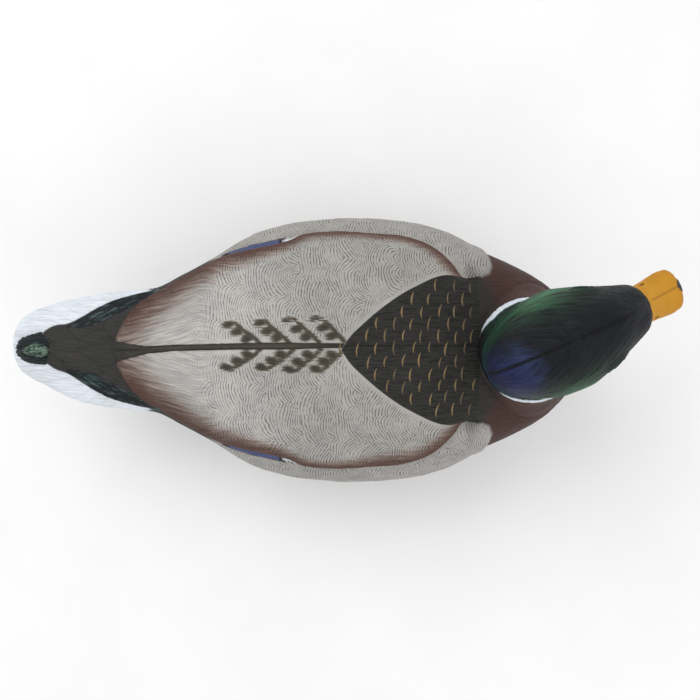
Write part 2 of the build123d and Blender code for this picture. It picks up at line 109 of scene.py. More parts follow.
# Skull and bill, with the body's columns at each s; then the neck, with the stub's.
SKULL = np.array([
    (-31.5, 5, 146, 152, 158), (-29, 11, 138, 150, 167), (-22, 18, 132, 150, 179),
    (-11, 24, 130, 152, 188), (2, 27.5, 131, 155, 194), (14, 28, 134, 158, 196.7),
    (26, 25, 138, 161, 196.5), (38, 20, 142, 164, 193), (47, 16.3, 145.5, 165.5, 187),
    (55.5, 12.8, 149.5, 166, 179), (59.5, 8, 156, 167, 174),
])
BILL = np.array([
    (46, 10, 151, 162, 175), (56, 10.6, 149, 158, 169), (66, 11.4, 147, 153.5, 161.5),
    (76, 12.4, 144.5, 149, 154.5), (82.5, 11.8, 142.5, 146, 150.5), (86.5, 8, 142, 144.6, 147.8),
    (88, 3, 142.4, 144.2, 146),
])
NECK = np.array([
    (122.5, 30, 30, 0), (129.3, 29.4, 28.7, 0), (133, 28.4, 27.0, 0.2), (140, 27.3, 24.6, 0.8),
    (152, 26.5, 22, 1.5),
])
NECK_FOOT = NECK[0, 0]
EYE = Vector((31.0, 21.9, 175.0))
EYE_FORWARD, EYE_UP = 18.0, 15.0  # degrees that the eyes look forward and up


# ---- small tools
def rgb(r, g, b):
    """A display colour from 0 to 255 as linear light."""
    c = np.array((r, g, b), float) / 255
    return np.where(c <= 0.04045, c / 12.92, ((c + 0.055) / 1.055) ** 2.4)


def step(value, low, high):
    """Smooth step from 0 at low to 1 at high."""
    t = np.clip((value - low) / (high - low), 0, 1)
    return t * t * (3 - 2 * t)


def fade(value, low, high):
    """Smooth step from 1 at low to 0 at high."""
    return 1 - step(value, low, high)


def span(value, low, full, until, end):
    """1 between full and until, with smooth steps to 0 at low and at end."""
    return step(value, low, full) * fade(value, until, end)


def bump(value, centre, half):
    """A soft bump that is 1 at the centre and 0 at half to each side."""
    return fade(np.abs(value - centre), 0, half)


def bell(value, spread):
    """A bell curve that is 1 at 0."""
    return np.exp(-((value / spread) ** 2))


def circle(count):
    """Angles evenly spaced round a circle."""
    return np.linspace(0, tau, count, endpoint=False)


def through(xs, ys, x):
    """Values at x of a smooth curve through the points, with no overshoot."""
    run = np.diff(xs)
    slope = np.diff(ys) / run
    tangent = np.zeros(len(xs))
    product = slope[:-1] * slope[1:]
    total = np.where(product > 0, slope[:-1] + slope[1:], 1)
    tangent[1:-1] = np.where(product > 0, 2 * product / total, 0)
    tangent[0], tangent[-1] = slope[0], slope[-1]
    x = np.clip(x, xs[0], xs[-1])
    i = np.clip(np.searchsorted(xs, x) - 1, 0, len(run) - 1)
    t = (x - xs[i]) / run[i]
    rise = (1 + 2 * t) * (1 - t) ** 2 * ys[i] + t * t * (3 - 2 * t) * ys[i + 1]
    lean = t * (1 - t) ** 2 * tangent[i] + t * t * (t - 1) * tangent[i + 1]
    return rise + run[i] * lean


def columns_of(stations, x):
    """A station table's other columns at each x."""
    return [through(stations[:, 0], column, x) for column in stations.T[1:]]


def around(angle, half_width, low, middle, high):
    """Place across and height of the outline at an angle from its left side."""
    c, s = np.cos(angle), np.sin(angle)
    across = half_width * np.sign(c) * np.abs(c) ** 0.92
    up = (high - middle) * np.abs(s) ** 0.95
    down = (low - middle) * np.abs(s) ** 0.8
    return across, middle + np.where(s >= 0, up, down)


def top_height(x, y):
    """Height of the body's upper skin over a point."""
    half_width, _, middle, high = columns_of(BODY, x)
    c = np.clip(np.abs(y) / half_width, 0, 1) ** (1 / 0.92)
    return middle + (high - middle) * np.sqrt(1 - c * c) ** 0.95


def smooth_line(points, per_span=6):
    """A smooth line through the points."""
    points = np.array(points, float)
    ends = np.vstack((2 * points[0] - points[1], points, 2 * points[-1] - points[-2]))
    line = []
    for a, b, c, d in zip(ends, ends[1:], ends[2:], ends[3:]):
        for t in np.arange(per_span) / per_span:
            bend = (2 * a - 5 * b + 4 * c - d) * t**2 + (3 * b - a - 3 * c + d) * t**3
            line.append(0.5 * (2 * b + (c - a) * t + bend))
    return np.vstack((line, points[-1:]))


def distance_to(line, places):
    """Distance of each place to a line of points."""
    nearest = np.full(len(places), 1e9)
    for a, b in zip(line, line[1:]):
        along = b - a
        t = np.clip((places - a) @ along / max(along @ along, 1e-9), 0, 1)
        nearest = np.minimum(nearest, np.linalg.norm(places - a - t[:, None] * along, axis=1))
    return nearest


def coated(paint, *coats):
    """Colours after further coats, each a colour and its strength at every place."""
    for colour, amount in coats:
        amount = np.clip(amount, 0, 1)[..., None]
        paint = paint * (1 - amount) + colour * amount
    return paint


def scales(x, y, length, width, bend=1.0):
    """Distance of each place ahead of its feather's tip, in rows of overlapping feathers."""
    ahead = np.full(np.shape(x), 1e9)
    row = np.floor(y / width)
    for j in (-1, 0, 1, 2):
        middle = (row + j) * width
        shift = ((row + j) % 2) * length / 2
        back = bend * (y - middle) ** 2 / width
        covered = np.abs(y - middle) < width
        ahead = np.where(covered, np.minimum(ahead, (x + shift - back) % length), ahead)
    return ahead


def lattice(u, v, seed):
    """Smooth random values from -1 to 1 over a plane."""
    table = np.random.default_rng(seed).uniform(-1, 1, (256, 256))
    iu, iv = np.floor(u).astype(int), np.floor(v).astype(int)
    fu, fv = step(u - iu, 0, 1), step(v - iv, 0, 1)
    near = table[iu % 256, iv % 256] * (1 - fu) + table[(iu + 1) % 256, iv % 256] * fu
    far = table[iu % 256, (iv + 1) % 256] * (1 - fu) + table[(iu + 1) % 256, (iv + 1) % 256] * fu
    return near * (1 - fv) + far * fv


def linked(name, data):
    """A new object in the scene."""
    thing = bpy.data.objects.new(name, data)
    bpy.context.scene.collection.objects.link(thing)
    return thing


def mesh_of(name, verts, faces):
    """A mesh from vertices in mm."""
    mesh = bpy.data.meshes.new(name)
    mesh.from_pydata((np.asarray(verts) * MM).tolist(), [], faces)
    return mesh


def new_object(name, verts, faces, body, slot, **data):
    """A piece on a body; each attribute has one value for all vertices or one for each."""
    mesh = mesh_of(name, verts, faces)
    mesh.validate()
    for key, values in data.items():
        set_data(mesh, key, np.asarray(values, np.float32))
    mesh.shade_smooth()
    piece = linked(name, mesh)
    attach(piece, body)
    return piece


def set_data(mesh, key, values):
    """Stores one number, vector or colour per vertex."""
    if key == "paint":
        kind, field = "FLOAT_COLOR", "color"
        values = np.concatenate((values, np.ones_like(values[..., :1])), axis=-1)
    elif key in ("skin", "comb"):
        kind, field = "FLOAT_VECTOR", "vector"
    else:
        kind, field = "FLOAT", "value"
        values = values[..., None]
    everywhere = np.broadcast_to(values, (len(mesh.vertices), values.shape[-1]))
    mesh.attributes.new(key, kind, "POINT").data.foreach_set(field, everywhere.ravel())


def grid_faces(rows, columns, ring=False):
    """Quads of rings that close on themselves, or have a fan to an extra point at each end."""
    faces = []
    for i in range(rows if ring else rows - 1):
        for j in range(columns):
            k, n = (j + 1) % columns, (i + 1) % rows
            faces.append((i * columns + j, i * columns + k, n * columns + k, n * columns + j))
    if not ring:
        first, foot = rows * columns, (rows - 1) * columns
        faces += [(first, (j + 1) % columns, j) for j in range(columns)]
        faces += [(first + 1, foot + j, foot + (j + 1) % columns) for j in range(columns)]
    return faces


def lathe_rings(profile, segments, x=0):
    """Rings about an upright axis at x, from (radius, height) points."""
    turn = circle(segments)
    ring = np.column_stack((np.cos(turn), np.sin(turn)))
    return np.array([np.column_stack((r * ring, np.full(segments, z))) for r, z in profile]) + (x, 0, 0)


def normals_of(grid):
    """Unit normals of a ring grid, pointing out."""
    along = np.gradient(grid, axis=0)
    wide = np.concatenate((grid[:, -1:], grid, grid[:, :1]), axis=1)
    across = np.gradient(wide, axis=1)[:, 1:-1]
    normal = np.cross(along, across)
    normal /= np.maximum(np.linalg.norm(normal, axis=2, keepdims=True), 1e-9)
    centre = grid.mean(axis=1, keepdims=True)
    outward = np.sign(np.sum(normal * (grid - centre), axis=(1, 2)))[:, None, None]
    return normal * outward


# ---- body
COLUMNS, TOP_CELLS, UNDER_CELLS = 356, 204, 76
GREY = rgb(169, 167, 162)
PALE_GREY = rgb(190, 187, 183)
FLANK_GREY = rgb(169, 166, 162)
CHESTNUT = rgb(73, 49, 43)
CHARCOAL = rgb(57, 56, 54)
BLACK = rgb(34, 37, 38)
WHITE = rgb(228, 234, 241)
BROWN = rgb(87, 63, 55)
OLIVE = rgb(80, 72, 57)
BLUE = rgb(84, 93, 134)
HULL = rgb(66, 58, 50)


def body_grid():
    """Rings of the body's skin, and the angle round each ring."""
    turn = np.linspace(0, pi / 2, 7)[1:-1]
    x = np.concatenate((
        TAIL_END + TAIL_ROUND * (1 - np.cos(turn)),
        np.linspace(TAIL_END + TAIL_ROUND, BREAST_END - BREAST_ROUND, COLUMNS),
        BREAST_END - BREAST_ROUND * (1 - np.sin(turn)),
    ))
    half_width, low, middle, high = columns_of(BODY, x)
    back = np.clip((TAIL_END + TAIL_ROUND - x) / TAIL_ROUND, 0, 1)
    front = np.clip((x - BREAST_END + BREAST_ROUND) / BREAST_ROUND, 0, 1)
    shrink = np.sqrt(1 - np.maximum(back, front) ** 2)
    low, high = (middle + (edge - middle) * shrink for edge in (low, high))
    top = np.linspace(0, pi, TOP_CELLS, endpoint=False)
    angle = np.concatenate((top, np.linspace(pi, tau, UNDER_CELLS, endpoint=False)))
    across, height = around(angle, *[v[:, None] for v in (half_width * shrink, low, middle, high)])
    return np.stack((np.broadcast_to(x[:, None], across.shape), across, height), axis=2), angle


def girth(grid, angle):
    """Distance round the skin from the middle of the back, positive on the left."""
    steps = np.linalg.norm(np.roll(grid, -1, axis=1) - grid, axis=2)
    total = np.concatenate((np.zeros((len(grid), 1)), np.cumsum(steps, axis=1)), axis=1)
    middle = total[:, TOP_CELLS // 2][:, None]
    return middle - total[:, :-1] + (angle > 1.5 * pi) * total[:, -1:]


grid, angle = body_grid()
rows, columns = grid.shape[:2]
# At each place of the skin: X, Y, Z, and the distances A from the middle line and G round the skin.
X, Y, Z = (grid[:, :, k].ravel() for k in range(3))
A = np.abs(Y)
G = girth(grid, angle).ravel()
upper = np.tile(np.sin(angle) >= -1e-9, rows)


def signed(edge, open_front=False):
    """Distance in mm inside an outline; an open front keeps its last width."""
    line = smooth_line(edge)
    width = np.interp(X, *line.T, left=-1, right=line[-1, 1] if open_front else -1)
    laid = np.column_stack((line, top_height(*line.T)))
    return distance_to(laid, np.column_stack((X, A, Z))) * np.where(upper & (A < width), 1, -1)


wing = signed(WING_EDGE)
outside = -wing
mantle = signed(MANTLE_EDGE, True)
rump = signed(RUMP_EDGE, True)
flank = np.where(upper, np.interp(A, *np.transpose(FLANK_TOP)), np.interp(Z, *np.transpose(FLANK_SIDE))) - X
flank_rear = X + 76 - 0.005 * (92 - Z) ** 2 + 1.2 * np.sin(Z / 3.1)
from_shaft = np.abs(Y - np.interp(X, *SHAFT.T[:2]))
shaft = np.interp(X, *SHAFT.T[::2]) - from_shaft
behind_mantle = fade(mantle, -1.5, 0)
waves = rng.uniform((0.08, 0, 0.08, 0), (0.3, 6, 0.3, 6), (6, 4))
noise_x = sum(np.sin(X * f + p) * np.sin(G * q + r) for f, p, q, r in waves)

# Relief, in mm along the skin's normal.
mantle_edge = step(mantle, -0.6, 0.6)
raised = np.maximum(step(wing, -0.7, 0.8), mantle_edge * fade(X, 80, 104))
relief = 1.5 * raised - 0.9 * bell(np.minimum(wing, 0), 5) * (wing < 0) * upper
relief += 0.6 * mantle_edge * fade(X, 80, 90)
lobe = step(flank, -1.2, 1.5) * np.exp(-np.maximum(flank, 0) / 30)
relief += 1.6 * lobe * fade(wing, -2, 0) * step(X, 30, 60) * step(A, 39, 45)
relief -= 2.4 * bell(X - 76, 6) * bell(A - 45, 4.5) * upper
on_shaft = step(X, -156, -134) * behind_mantle * upper
relief += on_shaft * (0.35 * step(shaft, 0, 1.2) - 0.6 * bump(-shaft, 0.4, 0.9))
back_feathers = scales(X + 3 * noise_x, G, 23, 15)
rear_feathers = scales(X, G - 0.22 * np.sign(G) * (X + 60), 46, 11, 1.6)
rear = fade(X, -82, -60) * step(wing, 0, 2)
relief += step(wing, 0, 3) * behind_mantle * (1 - rear) * 0.28 * (1 - back_feathers / 23)
relief += rear * (0.55 * (1 - rear_feathers / 46) - 0.45 * bump(rear_feathers, 0, 1.6))
relief += step(mantle, 0, 2) * 0.35 * (1 - scales(X, G, 13.5, 8.2, 0.5) / 13.5)
on_flank = fade(wing, -3, -1) * step(flank, 0, 3) * step(flank_rear, 0, 6) * step(Z, 40, 48)
on_flank *= np.where(upper, step(A, 39, 45), 1)
relief += on_flank * 0.45 * (1 - scales(X + 2 * noise_x, G, 26, 17) / 26)
on_breast = step(-flank, 0, 3) * step(X, 40, 60) * step(Z, 42, 50)
relief += on_breast * 0.22 * (1 - scales(X, G, 9, 8, 1.2) / 9)

# Rump and tail: dark feathers over a fan of long white ones, and glossy coverts at the sides.
rump_paint = step(rump, -0.5, 0.7) * upper * (X < -95)
on_rump = rump_paint * fade(wing, -0.5, 0.5)
rump_feathers = scales(X - 0.02 * G * G, G - 3, 22, 13.5, 1.4)
relief += on_rump * (0.9 + 0.75 * (1 - rump_feathers / 20) - 0.4 * bump(rump_feathers, 0, 1.2))
fan_angle = np.degrees(np.arctan2(Y, X + 98))
fan_angle = np.where(Y > 0, 180, -180) - fan_angle
fan = np.mod(np.abs(fan_angle), 5.2) / 5.2
relief += fade(X, -118, -108) * (1 - on_rump) * (0.36 * fan - 0.12)
covert_edge = A - np.interp(X, *smooth_line(COVERT_EDGE).T) + 1.2 * lattice(X / 3, G / 2.5, 31)
coverts = rump_paint * step(covert_edge, -3.2, -2.2) * step(X, -162, -159)
tufts = lattice((X + 0.5 * A) / 5, (A - 0.5 * X) / 0.9, 33) * lattice(X / 9, G / 5, 34)
tufts = np.clip(1.6 * tufts - 0.02, 0, 1)
relief += coverts * (0.35 * tufts - 0.25 + 0.5 * bump(covert_edge, -2.8, 0.8))
oval = np.hypot((X + 145 + 0.3 * (Y + 16.5)) / 4.4, (Y + 16.5 + 0.12 * (X + 145)) / 2.1)  # one glossy covert
relief += on_rump * (0.8 * fade(oval, 0.6, 1.1) - 0.4 * bump(oval, 1.25, 0.35))
green_patch = on_rump * fade(oval, 0.7, 1.1)

# Paint, blended in coats.
dark_side = fade(flank_rear, -5, 5)
above = Z - np.repeat(columns_of(BODY, grid[:, 0, 0])[2], columns)
white_tail = fade(X + 117 - np.where(above > 0, 0.6, 2.4) * above, -2, 2) * (1 - rump_paint)
blue_place = span(X, -67, -63, -35, -32.5) * span(outside, 0.2, 0.9, 4.4, 5.2) * upper
black_place = span(X, -71, -68, -31, -29.5) * span(outside, -0.3, 0.4, 4.8, 5.8) * (wing < 0.4) * upper
tick = span(X, -32, -31, -19, -17) * step(outside, 0.0, 0.4)
tick *= fade(outside - np.interp(X, (-31, -18), (3.4, 0.6)), -0.3, 0.3)
rear_tick = span(X, -74, -72, -69.5, -67.5) * span(outside, 0.4, 0.9, 1.5, 2.2)


def nape_dark_paint_and_painted_shade(x, y):
    """Strength of the dark paint between mantle and neck: part charcoal plumage, part painted shade under the
    head.
    """
    return 0.9 * fade(np.abs(y) + 1.1 * (x - 80), 36, 60) * fade(x, 98, 114)


on_mantle = mantle_edge * fade(X, 82, 96)
paint = coated(
    FLANK_GREY,
    (CHESTNUT, step(-flank, -1.5, 1.5) * step(X, 35, 60)),
    (CHARCOAL, dark_side),
    (BLACK, dark_side * fade(Z, 70, 95)),
    (WHITE, white_tail),
    (rgb(190, 200, 210), white_tail * 0.4 * bump(fan, 0, 0.12)),
    (CHARCOAL, rump_paint),
    (rgb(24, 29, 32), 0.95 * coverts),
    # painted sheen: grey-green highlights on the coverts' raised tufts
    (rgb(78, 98, 98), np.clip(1.5 * tufts, 0, 0.8) * coverts),
    (rgb(26, 25, 25), rump_paint * 0.6 * bump(rump_feathers, 0, 1.3)),
    (rgb(42, 62, 62), 0.85 * green_patch),
    # painted shadow: a dark rim on the inner side of the raised glossy covert
    (rgb(14, 16, 17), 0.6 * on_rump * bump(oval, 1.3, 0.4) * step(Y, -18, -15)),
    (BLACK, black_place),
    (BLUE, blue_place),
    (WHITE, (tick + rear_tick) * upper),
    (CHARCOAL * 0.85, on_mantle * step(X, 60, 70)),
    # the nape's dark paint: part charcoal plumage, part painted shade under the head
    (CHARCOAL * 0.8, nape_dark_paint_and_painted_shade(X, Y) * step(X, 76, 82) * upper),
    (HULL, fade(Z + 0.25 * noise_x, 41, 43)),
)

# Barred feathers: distance in mm inside a bar or its spine, and how worn the bar's paint is.
FAR_OUT = -9.0  # mm, as far outside a painted shape as matters
barred, worn = np.full(len(X), FAR_OUT), np.zeros(len(X))
for number, bars in enumerate(np.array(BARRED)):
    side = np.sign(bars[0, 1])
    for k, (bar_x, bar_y) in enumerate(bars):
        along = X - bar_x + BAR_LEAN * side * (Y - bar_y)
        across = Y - bar_y - BAR_LEAN * side * (X - bar_x)
        long_half, wide_half = 4.8 - 0.25 * k, 2.5
        taper = 1 - 0.1 * along / long_half
        size = (np.abs(along / long_half) ** 2.3 + np.abs(across / (wide_half * taper)) ** 2.3) ** (1 / 2.3)
        leaf = wide_half * (1 - size)
        wear = 0.65 if k == 0 and number in (2, 3) else 0.15 * (k == 0)
        worn = np.where(leaf > barred, wear, worn)
        barred = np.maximum(barred, leaf)
    spine = bars[[2, 2, 1, 0]] + np.array(((7.5, -3.6), (3.4, 0.6), (3.4, 0.8), (3.2, 1.0))) * (1, side)
    barred = np.maximum(barred, 1.4 - distance_to(spine, np.column_stack((X, Y))))
barred = np.where(upper, barred, FAR_OUT)

# What the shader reads: distances inside outlines, and strengths from 0 to 1.
edges = {
    "wing": wing,
    "mantle": np.minimum(mantle, MANTLE_FRONT - X),
    "shaft": np.minimum(np.minimum(shaft, X + 142), -mantle),
    "barred": np.minimum(barred, -mantle),
}
border_width = np.interp(X, *np.transpose(BORDER)) * np.where(Y < 0, 1 + 0.6 * bump(X, 32, 42), 1)
border = np.clip(1 - wing / border_width, 0, 1)
border *= (1 - step(mantle, -7, -2) * fade(X, 50, 60)) * (1 - 0.3 * fade(X, -132, -118))
fine = step(wing, 1, 6) * fade(mantle, -4, -0.5) * (1 - 0.9 * step(-X, 62, 92)) * fade(shaft, -4, -1)
fine = np.maximum(fine, on_flank) * fade(barred, -0.8, 0.2)
barb = (rear, 0.12 * white_tail, 0.8 * on_rump, 0.95 * on_mantle + 0.6 * dark_side, 0.75 * on_breast)
barb = np.max(barb, axis=0)
sheen = np.clip(blue_place + green_patch + 0.4 * coverts, 0, 1)
strengths = {"border": border, "fine": fine, "barb": barb, "sheen": sheen, "worn": worn}

skin = grid.reshape(-1, 3) + normals_of(grid).reshape(-1, 3) * relief[:, None]
skin[:, 1] += 3.0 * fade(X, -186, -146)  # the tail is a little to the left
# The skin dips under the neck base, has two wells and lies flat on the keel's seat.
under_neck = upper * fade(np.hypot(X - NECK_X, Y), 26, 28.5)
lowered = np.minimum(skin[:, 2], skin[:, 2] * (1 - under_neck) + 102 * under_neck)
skin[:, 2] = np.where(under_neck > 0, lowered, skin[:, 2])
seat_low, seat_high = (np.array(corner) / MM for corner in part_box("keel_gasket"))
inside_x = np.minimum(X - seat_low[0], seat_high[0] - X)
on_seat = step(np.minimum(inside_x, seat_high[1] - A) + 2, 0, 1.6) * ~upper
for centre, top in ((NECK_X, 57.0), (DRAIN_X, 66.0)):
    well = fade(np.hypot(X - centre, Y), 7.0, 8.5) * ~upper
    skin[:, 2] = skin[:, 2] * (1 - well) + top * well
skin[:, 2] = skin[:, 2] * (1 - on_seat) + seat_high[2] * on_seat
tips = np.array(((TAIL_END, 0, BODY[0, 3]), (BREAST_END, 0, BODY[-1, 3])))
combed = G - rear * np.sign(G) * 0.24 * (X + 100)
body_data = {key: np.append(value, (0, 0)) for key, value in strengths.items()}
for key, value in edges.items():
    value = np.clip(np.where(upper, value, FAR_OUT), FAR_OUT, -FAR_OUT)
    body_data[key] = np.append(value, (FAR_OUT, FAR_OUT))
body_data["paint"] = np.vstack((paint, WHITE, CHESTNUT))
body_data["skin"] = np.vstack((np.column_stack((X, G, 0 * X)), tips))
body_data["comb"] = np.vstack((np.column_stack((X, combed, 0 * X)), tips))
skin = np.vstack((skin, tips))
body = new_object("body_skin", skin, grid_faces(rows, columns), "base", "body_plastic", **body_data)
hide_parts("body_shell")


# ---- neck base and bosses
def feathered(name, verts, faces, paint, place, barb=0.0, sheen=0.0):
    """A painted piece of the body; the shader's strokes lie in place."""
    data = {"paint": paint, "skin": place, "comb": place, "barb": barb, "sheen": sheen}
    return new_object(name, verts, faces, "base", "body_plastic", **data)


def neck_base():
    """The stub under the head, with the bearing ring's pocket."""
    segments, radius = 240, 32
    turn = circle(segments)
    levels = np.linspace(87, 121.2, 60)[:, None]
    long, wide, back = columns_of(STUB, levels)
    arc = turn * radius
    level, round_it = np.broadcast_arrays(levels, arc)
    rise = 0.25 * (1 - scales(level, round_it, 8, tau * radius / 26) / 8)
    rise += 0.12 * lattice(levels / 7, arc / 1.8 % 256, 3)
    x = NECK_X - back + (long + rise) * np.cos(turn)
    outer = np.stack((x, (wide + rise) * np.sin(turn), level), axis=2)
    lip = ((30.3, 121.7), (29.9, 122), (24.4, 122), (24.05, 121.7), (24.05, 109.8), (7.2, 109.8), (7.2, 104))
    rings = np.concatenate((outer, lathe_rings(lip, segments, NECK_X)))
    x, y, z = rings.reshape(-1, 3).T
    # The nape's dark paint: part charcoal plumage, part painted shade under the head.
    paint = coated(CHESTNUT, (CHARCOAL * 0.8, nape_dark_paint_and_painted_shade(x, y)))
    place = np.column_stack((z, np.arctan2(y, x - NECK_X) * radius, 0 * z))
    faces = grid_faces(*rings.shape[:2], ring=True)
    return feathered("neck_base", rings.reshape(-1, 3), faces, paint, place, 0.75)


def boss(name, x, hole, radius, low, high):
    """A round boss under the hull, with a hole and a softened rim."""
    foot = ((hole, low + 0.4), (hole + 0.4, low), (radius - 0.9, low), (radius - 0.25, low + 0.3))
    rings = lathe_rings((*foot, (radius, low + 1.0), (radius, high), (hole, high)), 72, x)
    verts = rings.reshape(-1, 3)
    return feathered(name, verts, grid_faces(*rings.shape[:2], ring=True), HULL, verts)


# ---- tail curl
def tail_curl():
    """The knot of curled feathers on the end of the tail."""
    count, segments = 96, 128
    u = np.linspace(0.004, 0.996, count)[:, None]
    turn = circle(segments)[None, :]
    c, q = np.cos(turn), np.sin(turn)
    u_grid, turn_grid = np.broadcast_arrays(u, turn)
    half = (5.6 + 4.9 * u**0.9) * (1 - np.abs(2 * u - 1) ** 5.0) ** 0.5 + 0.25
    high = 9.2 * np.sin(pi * u**1.15) ** 0.6 + 0.2
    lock = 0.5 + 0.5 * np.sin(5.5 * turn + 9 * u + 1.5 * np.sin(5 * u))
    comb_line = np.sin(turn * 31 + 16 * u + 2 * lattice(u_grid * 6, turn * 2, 11))
    oval = np.hypot((u - 0.6) / 0.37, (c + 0.08) / 0.5) + 0.26 * lattice(u_grid * 8, turn * 4.2, 17)
    inner = (q > 0) * fade(oval, 0.82, 1.0)
    rim = (q > 0) * bell(oval - 1.05, 0.12)
    cracks = bell(lattice(u_grid * 5, turn * 4.5 + 3 * u, 19), 0.13)
    rise = 0.9 * lock * (1 - inner) + 0.28 * comb_line + 0.6 * inner - 0.5 * rim - 0.6 * cracks
    fringe = 0.9 * np.abs(lattice(turn_grid * 0.6, u * 21, 6)) + 0.5
    rise = rise + fringe * step(np.abs(c), 0.7, 0.97) * fade(u, 0.75, 0.95)
    ragged = 0.9 * lattice(turn_grid * 9, u * 3, 5) * (np.abs(2 * u - 1) ** 3)
    off, level = 0.8, 100.8  # the knot's middle
    y = off + (half + rise * 0.6) * c
    z = level + np.where(q > 0, (high + rise) * q, 5 * q)
    rings = np.stack((-192.3 + 23.5 * u + ragged, y, z), axis=2)
    tips = ((-192.4, off, 101), (-168.6, off, 101))
    x, y, _ = rings.reshape(-1, 3).T
    inner, rim, cracks, comb_line = (v.ravel() for v in (inner, rim, cracks, comb_line))
    speck = np.clip(0.5 + 0.9 * lattice(x * 0.8, y * 1.1, 21) + 0.4 * lattice(x * 2.1, y * 2.6, 22), 0, 1)
    paint = coated(
        rgb(27, 32, 34),
        (rgb(58, 72, 72), 0.45 * (comb_line > 0.3)),
        (rgb(44, 66, 62), inner * 0.8),
        (rgb(134, 158, 136), inner * speck * (0.7 + 0.3 * comb_line)),
        (rgb(20, 24, 26), np.clip(0.5 * rim + 0.75 * cracks, 0, 0.9)),
    )
    paint = np.vstack((paint, paint[:1], paint[-1:]))
    verts = np.vstack((rings.reshape(-1, 3), tips))
    return feathered("tail_curl", verts, grid_faces(count, segments), paint, verts, 0.5, 0.7)


# ---- mantle marks
def mantle_marks():
    """Gold crescents near the tips of the mantle's feathers."""
    tree = BVHTree.FromPolygons([v.co for v in body.data.vertices], [f.vertices for f in body.data.polygons])
    outline = smooth_line(MANTLE_EDGE)
    stops, row, step_across, verts, faces, shade = 13, 10.2, 7.2, [], [], []
    for column in range(-6, 7):
        for k in range(9):
            x = 4.5 + row * k + row / 2 * (column % 2) + rng.uniform(-1.3, 1.3)
            y = step_across * column + 0.8 + rng.uniform(-1.0, 1.0)
            length, lean = rng.uniform(3.5, 4.5), 0.14 + rng.uniform(-0.12, 0.1)
            wide = rng.uniform(0.36, 0.52)
            strength = rng.uniform(0.35, 0.95) * (1 - 0.5 * step(x, 60, MANTLE_FRONT))
            limit = np.interp(x, *outline.T, left=-1, right=38)
            over_edge = column != 0 and abs(y) + 3.8 > limit
            if over_edge or x > MANTLE_FRONT or np.hypot(x - NECK_X, y) < 34:
                continue
            first = len(verts)
            for t in np.linspace(-1, 1, stops):
                thick = wide * (1 - t * t) ** 0.6 + 0.05
                middle = x - 0.9 * (1 - t * t) + lean * t * length
                for side in (-1, 1):
                    px, py = middle + side * thick, y + t * length
                    hit = tree.ray_cast(Vector((px * MM, py * MM, 0.3)), Vector((0, 0, -1)))[0]
                    top = hit.z / MM + 0.1 if hit else 120
                    verts += [(px, py, top), (px, py, top - 0.5)]
                    shade += [strength * (1 - 0.5 * t * t)] * 2
            for a in range(first, first + 4 * (stops - 1), 4):
                b = a + 4
                faces += [(a, a + 2, b + 2, b), (a + 1, b + 1, b + 3, a + 3)]
                faces += [(a, b, b + 1, a + 1), (a + 2, a + 3, b + 3, b + 2)]
            faces += [(first, first + 1, first + 3, first + 2), (b, b + 2, b + 3, b + 1)]
    paint = coated(CHARCOAL, (rgb(158, 132, 90), np.array(shade)))
    return feathered("mantle_marks", verts, faces, paint, verts, 0.3)


base_pieces = [
    neck_base(),
    boss("bolt_boss", NECK_X, 3.65, 13, 38, 62),
    boss("drain_boss", DRAIN_X, 5.1, 10, 50, 69),
    tail_curl(),
    mantle_marks(),
]


# ---- head
def closed_form(rings):
    """Vertices and faces of rings of points, closed by a point at each end."""
    ends = np.array((rings[0].mean(axis=0), rings[-1].mean(axis=0)))
    return np.vstack((rings.reshape(-1, 3), ends)), grid_faces(*rings.shape[:2])


def lofted(stations, count):
    """Rings of a lofted form in the head's frame."""
    x = np.linspace(stations[0, 0], stations[-1, 0], count)[:, None]
    across, height = around(circle(HEAD_SEGMENTS), *columns_of(stations, x))
    return np.stack((np.broadcast_to(x, across.shape), across, height), axis=2)


def neck_column():
    """Rings of the neck in the head's frame."""
    turn = circle(HEAD_SEGMENTS)
    levels = np.linspace(NECK_FOOT, NECK[-1, 0], 20)[:, None]
    long, wide, back = columns_of(NECK, levels)
    return np.stack((long * np.cos(turn) - back, wide * np.sin(turn), levels + 0 * turn), axis=2)


def merged_head():
    """Skull, bill and neck as one smooth mesh, in mm in the head's frame."""
    verts, faces = np.zeros((0, 3)), []
    for rings in (lofted(SKULL, 60), lofted(BILL, 40), neck_column()):
        more, quads = closed_form(rings)
        faces += [tuple(i + len(verts) for i in quad) for quad in quads]
        verts = np.vstack((verts, more))
    rough = linked("head_rough", mesh_of("head_rough", verts, faces))
    remesh = rough.modifiers.new("join", "REMESH")
    remesh.mode, remesh.voxel_size = "VOXEL", 0.68 * MM
    smooth = rough.modifiers.new("smooth", "SMOOTH")
    smooth.factor, smooth.iterations = 0.5, 14
    merged = bpy.data.meshes.new_from_object(rough.evaluated_get(bpy.context.evaluated_depsgraph_get()))
    bpy.data.objects.remove(rough)
    places, normals = np.zeros((2, len(merged.vertices) * 3), np.float32)
    merged.vertices.foreach_get("co", places)
    merged.vertices.foreach_get("normal", normals)
    quads = [tuple(f.vertices) for f in merged.polygons]
    return places.reshape(-1, 3).astype(float) / MM, normals.reshape(-1, 3).astype(float), quads


def to_object_frame(places):
    """Points in the head's frame, moved to the object's."""
    turned = np.array(Matrix.Rotation(radians(HEAD_YAW), 3, "Z"))
    return places @ turned.T + np.array((NECK_X, 0, 0))


def eye_axis(side):
    """The direction that an eye looks in."""
    forward, up = radians(EYE_FORWARD), radians(EYE_UP)
    return np.array((sin(forward) * cos(up), side * cos(forward) * cos(up), sin(up)))


